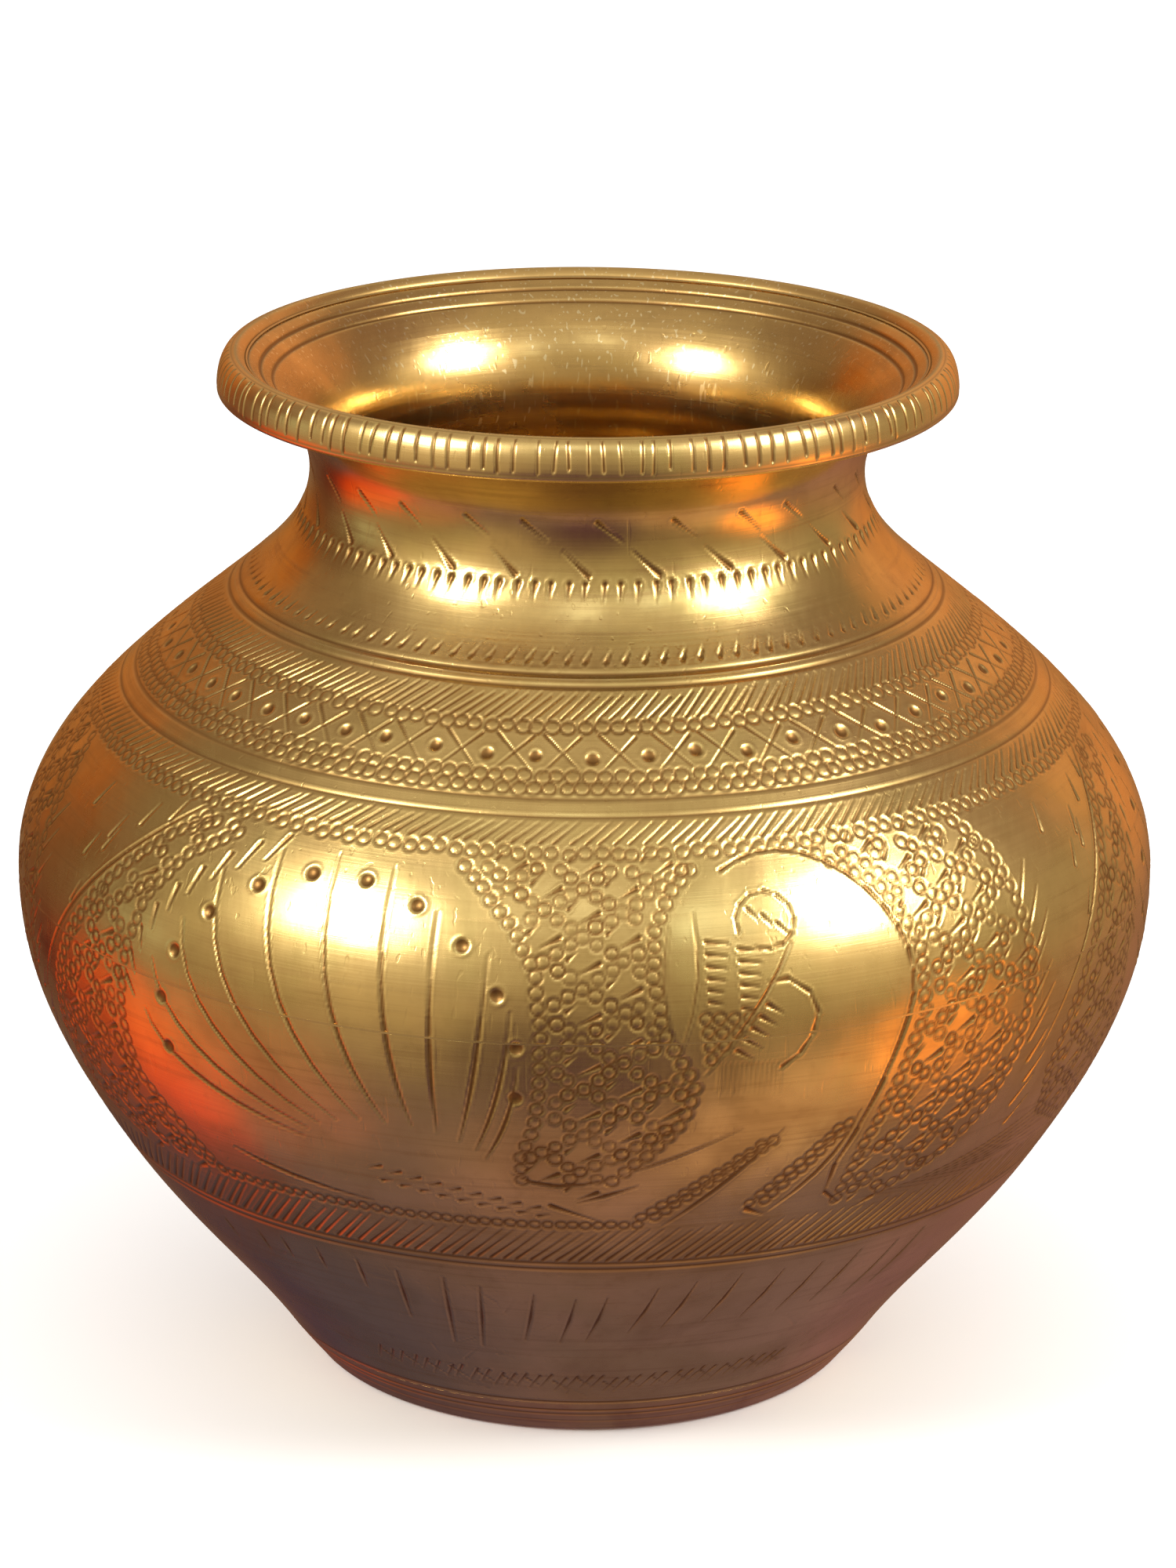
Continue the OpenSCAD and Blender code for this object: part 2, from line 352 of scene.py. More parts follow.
def worn_brass(name, clean, worn, roughness, patina=0.55):
    """Brass that was turned, chased by hand and polished: clean metal that drifts towards olive,
    brown stains and streaks, grime where the cuts crowd, redder metal inside, faint lathe lines
    round it, scratches every way and the slight unevenness that the hammer left."""
    material = bpy.data.materials.new(name)
    material.use_nodes = True
    tree = material.node_tree
    shader = tree.nodes["Principled BSDF"]
    shader.inputs["Metallic"].default_value = 1.0
    place = node(tree, "ShaderNodeTexCoord").outputs["Object"]
    arc, cut, grime, inside = (
        node(tree, "ShaderNodeAttribute", {"attribute_name": mark}).outputs["Fac"]
        for mark in ("arc", "cut", "grime", "inside")
    )
    scratch_turn = (0.5, 0.35, 0.2)
    hair_gloss = 0.05
    lathe_share = 0.5

    def noise(scale, detail, rough, distortion=0.0):
        """Soft noise read at each point's own place; scale is in waves to the metre."""
        return node(tree, "ShaderNodeTexNoise", Vector=place, Scale=scale, Detail=detail,
                    Roughness=rough, Distortion=distortion).outputs["Fac"]

    def spread(value, low, high):
        """0 below low, 1 above high and a smooth S between them."""
        return node(tree, "ShaderNodeMapRange", {"interpolation_type": "SMOOTHSTEP"}, _0=value,
                    _1=low, _2=high, _3=0.0, _4=1.0).outputs["Result"]

    def mixed(share, first, second):
        """Colour that goes from the first to the second as share goes from 0 to 1."""
        made = node(tree, "ShaderNodeMix", {"data_type": "RGBA"})
        tree.links.new(share, made.inputs["Factor"])
        for socket, value in zip((made.inputs[6], made.inputs[7]), (first, second)):
            if isinstance(value, bpy.types.NodeSocket):
                tree.links.new(value, socket)
            else:
                socket.default_value = (*value, 1)
        return made.outputs[2]

    def maths(operation, first, second):
        """One step of arithmetic on two values."""
        return node(tree, "ShaderNodeMath", {"operation": operation}, _0=first, _1=second).outputs[0]

    def stretched(scale, turn, detail, rough):
        """Noise drawn out along one way, by unlike scales along X, Y and Z, and then turned."""
        spot = node(tree, "ShaderNodeMapping", Vector=place, Scale=scale, Rotation=turn)
        return node(tree, "ShaderNodeTexNoise", Vector=spot.outputs["Vector"], Scale=1.0,
                    Detail=detail, Roughness=rough).outputs["Fac"]

    # Colour: how dull each point is, from patches a few centimetres wide down to freckles.
    blotches = spread(noise(34, 4, 0.58, 0.7), 0.44, 0.74)
    stains = spread(noise(88, 3, 0.55, 0.9), 0.46, 0.74)
    freckles = spread(noise(560, 2, 0.5), 0.52, 0.86)
    streaks = spread(stretched((34, 34, 1100), (0, 0, 0), 4.0, 0.6), 0.50, 0.72)
    dull = maths("ADD", maths("MULTIPLY", blotches, patina), maths("MULTIPLY", grime, 0.62))
    dull = maths("ADD", dull, maths("MULTIPLY", stains, 0.40 * patina))
    dull = maths("ADD", dull, maths("MULTIPLY", streaks, 0.55 * patina))
    dull = maths("MINIMUM", maths("ADD", dull, maths("MULTIPLY", freckles, 0.26)), 0.9)
    drift = maths("MULTIPLY", spread(noise(58, 3, 0.5, 0.5), 0.42, 0.66), 0.5)
    metal = mixed(maths("MULTIPLY", inside, 0.42), mixed(drift, clean, OLIVE_BRASS), INSIDE_BRASS)
    ticked = stretched((2300, 2300, 420), scratch_turn, 0.0, 0.4)
    ticks = maths("MULTIPLY", spread(ticked, 0.70, 0.76), inside)
    tone = mixed(maths("MULTIPLY", ticks, 0.7), mixed(dull, metal, worn), TICK_BRASS)
    deep = spread(cut, 0.03, 0.70)
    colour = mixed(maths("MULTIPLY", deep, 0.92), tone, GROOVE_BRASS)
    tree.links.new(colour, shader.inputs["Base Color"])

    # Surface: lathe lines along the wall, hairlines two ways, scratches and the hammer's waves.
    turning = node(tree, "ShaderNodeTexNoise", {"noise_dimensions": "1D"}, W=arc, Scale=2.4,
                   Detail=3.0, Roughness=0.7).outputs["Fac"]
    hairs = maths("ADD", stretched((90, 90, 2600), (0.3, 0.2, 0.0), 2.0, 0.5),
                  stretched((1500, 240, 240), (0.1, 0.9, 0.5), 2.0, 0.5))
    scored = spread(stretched((1100, 1100, 130), scratch_turn, 1.0, 0.4), 0.66, 0.74)
    rough = maths("ADD", maths("MULTIPLY", dull, 0.12), maths("MULTIPLY", deep, 0.14))
    rough = maths("ADD", rough, maths("MULTIPLY", hairs, hair_gloss))
    tree.links.new(maths("ADD", rough, roughness - hair_gloss), shader.inputs["Roughness"])
    fine = maths("ADD", maths("MULTIPLY", turning, lathe_share), maths("MULTIPLY", hairs, 0.35))
    fine = maths("SUBTRACT", fine, maths("MULTIPLY", scored, 0.7))
    uneven = node(tree, "ShaderNodeBump", Height=noise(62, 2, 0.45), Strength=1.0,
                  Distance=0.42 * MM)
    bump = node(tree, "ShaderNodeBump", Height=fine, Strength=0.35, Distance=0.04 * MM,
                Normal=uneven.outputs["Normal"])
    tree.links.new(bump.outputs["Normal"], shader.inputs["Normal"])
    return material


CLEAN_BRASS = (0.95, 0.71, 0.30)
WORN_BRASS = (0.58, 0.40, 0.15)
GROOVE_BRASS = (0.26, 0.13, 0.04)
INSIDE_BRASS = (0.76, 0.44, 0.15)
OLIVE_BRASS = (0.72, 0.60, 0.22)
TICK_BRASS = (0.96, 0.82, 0.50)

foot_brass = worn_brass("foot_brass", (0.80, 0.52, 0.24), (0.42, 0.24, 0.14), 0.34, patina=0.8)
pan_flat_width = 6.0
pan_dome = 0.9
pan_columns = 360
flat_radius = STATIONS[0][0] - pan_flat_width
dome_lean = 180 - 2 * math.degrees(math.atan(pan_dome / flat_radius))
dome = cubic(np.array([flat_radius, 0, dome_lean]), np.array([0, pan_dome, 180]), np.linspace(0, 1, 15))
seam_arc = STATION_ARC[BASE_SEAM]
pan_up = np.linspace(0, seam_arc, 60)
pan_outside, pan_out = wall_at(pan_up)
# Half width of the fine turned lines, and the depth at which a cut looks fully dark.
line_width = 0.2
FULL_CUT = 0.2
pan_cut = np.zeros(len(pan_up))
for line_height, line_depth in ((2.2, 0.07), (3.6, 0.10), (4.5, 0.12)):
    away = (pan_outside[:, 1] - line_height) / line_width
    pan_cut = np.maximum(pan_cut, line_depth * np.exp(-away ** 2))
pan_outside = pan_outside - pan_out * pan_cut[:, None]
spigot = wall_at(np.array([seam_arc, seam_arc + lap, seam_arc + lap]),
                 np.array([inner_lap, inner_lap, wall_thickness]))[0]
pan_inside = wall_at(np.linspace(seam_arc + lap, STATION_ARC[FOOT_ROUND], 24)[1:], wall_thickness)[0]
pan_profile = np.vstack([dome[::-1], pan_outside, spigot, pan_inside, dome + [0, wall_thickness]])
pan_arc = np.concatenate([[0], np.cumsum(np.linalg.norm(np.diff(pan_profile, axis=0), axis=1))])
pan_azimuth = np.arange(pan_columns) * 360 / pan_columns
cut_share = np.zeros(len(pan_arc))
cut_share[len(dome):len(dome) + len(pan_cut)] = pan_cut / FULL_CUT
base_pan = grid_piece(
    "base_pan_foot", turned(pan_profile, pan_azimuth), None, True, False,
    {"arc": np.repeat(pan_arc, pan_columns), "cut": np.repeat(cut_share, pan_columns)},
)
pan_build = bmesh.new()
pan_build.from_mesh(base_pan.data)
bmesh.ops.remove_doubles(pan_build, verts=pan_build.verts, dist=1e-7)
pan_build.to_mesh(base_pan.data)
pan_build.free()
base_pan.data.set_sharp_from_angle(angle=math.radians(35))
base_pan.data.materials.append(foot_brass)
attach(base_pan, "root")
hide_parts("base_pan")


# Brazed seams: thin films of spelter, the pale brazing metal, that fill the rabbets between the
# pan, the two halves of the belly, the neck and the rim. Their rings are the frame's own.
spelter_metal = worn_brass("spelter_metal", (0.74, 0.54, 0.24), (0.52, 0.36, 0.15), 0.30)
for seam in ("base_seam", "belly_seam", "neck_seam", "rim_seam"):
    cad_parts[seam].data.materials.clear()
    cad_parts[seam].data.materials.append(spelter_metal)


# Lower belly: a bowl raised from sheet, from the foot's seam to the widest circle. Its lower wall
# is scratched with long strokes; above a turned double line it carries the foot of the figures.
# Half width of the thinnest stroke that the mesh can hold.
NARROWEST = 0.25


class Skin:
    """A stretch of the wall's outside, unrolled, that the graver and the punches work on.
    Rows run up the wall and columns go round it. cut is how deep each point is, and burr how
    high the metal is thrown up beside a cut, both in millimetres."""

    def __init__(self, arcs, columns):
        self.arc = arcs
        self.profile, self.out = wall_at(arcs)
        self.step = 360 / columns
        self.azimuth = np.arange(columns) * self.step - 180
        self.cut = np.zeros((len(arcs), columns))
        self.burr = np.zeros((len(arcs), columns))

    def arc_of(self, height):
        """Arc length at a height, read off the outline."""
        return np.interp(height, OUTLINE[:, 1], ARCS)

    def patch(self, azimuths, arcs, reach):
        """The part of the skin within reach of some places: row slice, columns, and each point's
        distance round from azimuths[0] and its arc length."""
        first = np.searchsorted(self.arc, min(arcs) - reach)
        last = np.searchsorted(self.arc, max(arcs) + reach)
        if first >= last:
            return None
        radius = self.profile[first:last, 0]
        margin = math.degrees(reach / radius.min())
        low = math.floor((min(azimuths) - margin + 180) / self.step)
        high = math.ceil((max(azimuths) + margin + 180) / self.step)
        columns = np.arange(low, high + 1)
        turn = np.radians(columns * self.step - 180 - azimuths[0])
        across = turn[None, :] * radius[:, None]
        along = np.broadcast_to(self.arc[first:last, None], across.shape)
        return slice(first, last), columns % len(self.azimuth), across, along

    def press(self, where, cut, burr):
        """Deepens the cut and raises the burr over a patch, where they pass what is there."""
        rows, columns = where
        self.cut[rows, columns] = np.maximum(self.cut[rows, columns], cut)
        self.burr[rows, columns] = np.maximum(self.burr[rows, columns], burr)

    def stroke(self, start, end, width=0.34, depth=0.20, head=1.0, tail=1.0):
        """Graver stroke between two places (azimuth, height): a V cut whose half width and depth
        change from head to tail, with a low burr along both sides."""
        arcs = [float(self.arc_of(start[1])), float(self.arc_of(end[1]))]
        found = self.patch([start[0], end[0]], arcs, 2.5 * width * max(head, tail))
        if found is None:
            return
        rows, columns, across, along = found
        radius = np.interp(arcs[1], ARCS, OUTLINE[:, 0])
        run = np.array([math.radians(end[0] - start[0]) * radius, arcs[1] - arcs[0]])
        share = np.clip((across * run[0] + (along - arcs[0]) * run[1]) / (run @ run), 0, 1)
        away = np.hypot(across - share * run[0], along - arcs[0] - share * run[1])
        size = head + (tail - head) * share
        ratio = away / np.maximum(width * size, NARROWEST)
        cut = depth * size * np.clip(1 - ratio, 0, None) ** 0.9
        burr = 0.22 * depth * size * np.exp(-((ratio - 1.35) / 0.42) ** 2)
        self.press((rows, columns), cut, burr)

    def chase(self, places, width=0.3, depth=0.18, head=1.0, tail=0.35):
        """A run of tapered strokes from each place to the next."""
        for start, end in zip(places[:-1], places[1:]):
            self.stroke(start, end, width, depth, head, tail)

    def ring(self, azimuth, height, radius=0.80, width=0.20, depth=0.12):
        """Ring punch: a round groove with a button of metal left standing in it."""
        arc = float(self.arc_of(height))
        found = self.patch([azimuth], [arc], radius + 3 * width)
        if found is None:
            return
        rows, columns, across, along = found
        away = np.hypot(across, along - arc)
        cut = depth * np.exp(-((away - radius) / width) ** 2)
        burr = 0.02 * np.exp(-(away / (0.6 * radius)) ** 2)
        burr += 0.02 * np.exp(-((away - radius - 2.1 * width) / width) ** 2)
        self.press((rows, columns), cut, burr)

    def dimple(self, azimuth, height, radius=0.95, depth=0.30):
        """Round punch: a bowl with a low rolled edge."""
        arc = float(self.arc_of(height))
        found = self.patch([azimuth], [arc], 2.2 * radius)
        if found is None:
            return
        rows, columns, across, along = found
        away = np.hypot(across, along - arc) / radius
        cut = depth * np.clip(1 - away ** 2, 0, None)
        burr = 0.05 * np.exp(-((away - 1.25) / 0.22) ** 2)
        self.press((rows, columns), cut, burr)

    def turned_line(self, height, width=0.22, depth=0.12):
        """Groove cut on the lathe, right round the pot."""
        away = (self.arc - self.arc_of(height)) / width
        cut = depth * np.exp(-away ** 2)[:, None]
        burr = 0.02 * np.exp(-((np.abs(away) - 2) / 0.7) ** 2)[:, None]
        self.cut = np.maximum(self.cut, cut)
        self.burr = np.maximum(self.burr, burr)

    def grime(self):
        """How crowded the cuts are round each point, from 0 to 1: the share of cut metal, averaged
        over a few millimetres by running means taken twice each way."""
        grimy_cut, gain = 0.06, 1.9
        crowd = np.clip(self.cut / grimy_cut, 0, 1)
        for reach, axis in ((5, 0), (5, 0), (6, 1), (6, 1)):
            crowd = sum(np.roll(crowd, step, axis) for step in range(-reach, reach + 1)) / (2 * reach + 1)
        return np.clip(crowd * gain, 0, 1)

    def relief(self):
        """Height of the finished surface over the plain wall, with slow waves from the hammer."""
        turn = np.radians(self.azimuth)[None, :]
        arc = self.arc[:, None]
        waves = 0.030 * np.sin(3 * turn + arc / 9) * np.sin(arc / 13)
        waves = waves + 0.018 * np.sin(11 * turn + arc / 5) * np.cos(arc / 7)
        return self.burr - self.cut + waves

    def surface(self):
        """Points and unit normals of the finished surface, from the differences between points."""
        raised = self.profile[:, None, :] + self.relief()[..., None] * self.out[:, None, :]
        turn = np.radians(self.azimuth)[None, :]
        points = np.stack(
            [raised[..., 0] * np.sin(turn), -raised[..., 0] * np.cos(turn), raised[..., 1]], axis=-1
        )
        up = np.gradient(points, axis=0)
        round_ = np.roll(points, -1, axis=1) - np.roll(points, 1, axis=1)
        normals = np.cross(round_, up)
        return points, normals / np.linalg.norm(normals, axis=-1, keepdims=True)


def shell_pieces(name, skin, rest_arcs, rest_depths, parts, material, node_name):
    """The shell under a skin, as some equal sectors: the worked outside, then the rest of the
    wall's section, given as arc lengths and depths in order from the outside's top round to its
    foot. The inside's normals come from the differences along it, so that lines cut there show."""
    points, normals = skin.surface()
    rest_depths = np.asarray(rest_depths)
    rest, rest_out = wall_at(np.asarray(rest_arcs), rest_depths)
    within = rest_depths > (inner_lap + wall_thickness) / 2
    down = np.gradient(rest[within], axis=0)
    down /= np.linalg.norm(down, axis=1)[:, None]
    rest_facing = -rest_out
    rest_facing[within] = np.stack([down[:, 1], -down[:, 0]], axis=-1)
    around = len(skin.azimuth)
    whole = np.vstack([points, turned(rest, skin.azimuth)])
    facing = np.vstack([normals, turned(rest_facing, skin.azimuth)])
    rest_cut = np.where(within, wall_thickness - rest_depths, 0)
    no_cut = np.zeros(skin.cut.shape)
    marks = {
        "arc": np.concatenate([skin.arc, rest_arcs])[:, None] + np.zeros(around),
        "cut": np.vstack([skin.cut, rest_cut[:, None] + np.zeros(around)]) / FULL_CUT,
        "grime": np.vstack([skin.grime(), np.zeros((len(rest), around))]),
        "inside": np.vstack([no_cut, np.ones((len(rest), around))]),
    }
    width = around // parts
    for part in range(parts):
        columns = np.arange(part * width, (part + 1) * width + 1) % around
        piece = grid_piece(f"{name}_{part + 1}", whole[:, columns], facing[:, columns], False, True,
                           {key: values[:, columns] for key, values in marks.items()})
        piece.data.materials.append(material)
        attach(piece, "root")
        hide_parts(node_name)


belly_columns = 1620
chance = np.random.default_rng(12)
lower_from = STATION_ARC[BASE_SEAM] + film
lower_to = STATION_ARC[BELLY_SEAM]
figures_from = STATION_ARC[LOW_LINE] - 0.8
lower_skin = Skin(np.concatenate([np.linspace(lower_from, figures_from, 78, endpoint=False),
                                  np.linspace(figures_from, lower_to, 132)]), belly_columns)
lower_skin.turned_line(6.3, 0.24, 0.12)
for height in (34.3, 35.4):
    lower_skin.turned_line(height, 0.26, 0.13)

# Long strokes scratched down the lower wall, in three groups, with a band of short crossed
# strokes under them.
for group in (0, 120, 240):
    for top in np.arange(-48, 50, 5.2) + chance.uniform(-0.8, 0.8, 19):
        length = 4 + 12 * math.exp(-((top + 16) / 9) ** 2) + 6.5 * np.interp(top, (-14, 0), (0, 1))
        high = 31.8 - 3.2 * math.exp(-((top + 2) / 14) ** 2) + chance.uniform(-0.4, 0.4)
        low = high - 0.85 * length
        lean = length * np.interp(top, (-45, -10, 10), (0.03, 0.16, 0.28))
        middle = (group + top - 0.4 * lean, (high + low) / 2)
        lower_skin.stroke((group + top, high), middle, 0.32, 0.19, 0.5, 1.0)
        lower_skin.stroke(middle, (group + top - lean, low), 0.32, 0.19, 1.0, 0.4)
    for k in range(34):
        place = group - 34 + 2.1 * k + chance.uniform(-0.3, 0.3)
        height = 10.2 + 0.004 * (k - 17) ** 2 + chance.uniform(-0.3, 0.3)
        lower_skin.stroke((place, height + 1.5), (place - 2.2, height - 1.2), 0.30, 0.16, 1.0, 0.4)
        if k % 2:
            lower_skin.stroke((place - 2.4, height + 0.8), (place + 0.2, height - 0.9), 0.28, 0.14, 1, 0.4)
for k in range(150):
    place = chance.uniform(-180, 180)
    height = chance.uniform(7.5, 30)
    lean = chance.uniform(-5, 5)
    lower_skin.stroke((place, height), (place + lean, height + chance.uniform(-2, 4)), 0.24, 0.06, 1, 0.3)

# Slanting hatch over the double line.
hatch_count = 250
for k in range(hatch_count):
    place = k * 360 / hatch_count + chance.uniform(-0.25, 0.25)
    lower_skin.stroke((place, 35.9), (place + 4.4, 41.0 + chance.uniform(-0.4, 0.3)), 0.32, 0.19, 1, 0.5)
belly_brass = worn_brass("belly_brass", CLEAN_BRASS, WORN_BRASS, 0.22, patina=0.64)

# Upper belly and shoulder: the bowl's cover, from the widest circle up to the neck. It carries
# most of the chased figures, two turned lines and the shoulder's band of crosses and dimples.
upper_from = STATION_ARC[BELLY_SEAM] + film
upper_to = STATION_ARC[NECK_SEAM]
upper_skin = Skin(np.linspace(upper_from, upper_to, 180), belly_columns)
for height in (92.9, 94.6):
    upper_skin.turned_line(height, 0.24, 0.12)
upper_skin.turned_line(105.0, 0.26, 0.13)

belly_skins = (lower_skin, upper_skin)


def both(method, *places, **settings):
    """Does the same work on both halves of the belly, each of which keeps what falls on it."""
    for skin in belly_skins:
        getattr(skin, method)(*places, **settings)


# The figures are laid out on a flat sheet: x is the azimuth times this many millimetres a degree.
SHEET = math.radians(1) * 70
RING_PITCH = 1.88


def ring_row(line, pitch=RING_PITCH, radius=0.80, offset=0):
    """Ring punches side by side along a line of places (azimuth, height)."""
    azimuth, height = np.array(line, float).T
    arc = lower_skin.arc_of(height)
    run = np.concatenate([[0], np.cumsum(np.hypot(np.diff(azimuth) * SHEET, np.diff(arc)))])
    stops = np.arange(0, run[-1] + 0.01, pitch)
    for place, up in zip(np.interp(stops, run, azimuth), np.interp(stops, run, arc)):
        level = float(np.interp(up, ARCS, OUTLINE[:, 1])) + chance.uniform(-0.1, 0.1)
        both("ring", offset + place + chance.uniform(-0.1, 0.1), level, radius * chance.uniform(0.94, 1.05))


def network(edges, offset):
    """Rows of ring punches that cross each other and leave plain lozenge cells, between a left
    and a right edge given as (height, left azimuth, right azimuth), with a row down each edge.
    Crossings lie on a staggered lattice, three punches apart."""
    heights, left, right = np.array(edges, float).T
    ring_row(list(zip(left, heights)), offset=offset)
    ring_row(list(zip(right, heights)), offset=offset)
    half_wide, half_high = 4.7, 3.15
    low, high = lower_skin.arc_of(heights[0]), lower_skin.arc_of(heights[-1])
    for j in range(math.floor(low / half_high), math.ceil(high / half_high) + 1):
        for i in range(-80, 81):
            if (i + j) % 2:
                continue
            for k, side in ((0, 1), (1, 1), (2, 1), (1, -1), (2, -1)):
                place = (i + side * k / 3) * half_wide / SHEET
                up = (j + k / 3) * half_high
                level = float(np.interp(up, ARCS, OUTLINE[:, 1]))
                gap = 1.0 / SHEET
                if not low < up < high or not (np.interp(level, heights, left) + gap < place
                                               < np.interp(level, heights, right) - gap):
                    continue
                shift, rise = chance.uniform(-0.2, 0.2, 2)
                both("ring", offset + place + shift, level + rise, chance.uniform(0.72, 0.86),
                     depth=chance.uniform(0.09, 0.16))
            cell = (i + 1) * half_wide / SHEET
            level = float(np.interp(j * half_high, ARCS, OUTLINE[:, 1]))
            if np.interp(level, heights, left) + 2 < cell < np.interp(level, heights, right) - 2:
                both("stroke", (offset + cell - 0.4, level - 1.3), (offset + cell + 1.5, level - 0.2),
                     width=0.42, depth=0.24, head=0.3, tail=1.0)
                both("stroke", (offset + cell - 1.6, level + 0.2), (offset + cell - 0.6, level + 1.3),
                     width=0.36, depth=0.20, head=1.0, tail=0.3)


def sweep(start, bend, end, count, offset=0, width=0.36, depth=0.23):
    """Long graver line: strokes end to end along a curve from start to end that pulls towards
    bend, widest a little before its middle and thin at its ends."""
    start, bend, end = (np.array(p, float) + [offset, 0] for p in (start, bend, end))
    t = np.linspace(0, 1, count + 1)[:, None]
    line = (1 - t) ** 2 * start + 2 * t * (1 - t) * bend + t ** 2 * end
    size = 0.35 + 0.65 * np.sin(math.pi * t[:, 0] ** 0.8)
    for k in range(count):
        both("stroke", tuple(line[k]), tuple(line[k + 1]), width=width, depth=depth,
             head=size[k], tail=size[k + 1])


def oval_line(centre, half_turn, half_height, first, last, count=14):
    """Places along part of an oval; angles run clockwise from its top, in radians."""
    angle = np.linspace(first, last, count)
    return list(zip(centre[0] + half_turn * np.sin(angle), centre[1] + half_height * np.cos(angle)))


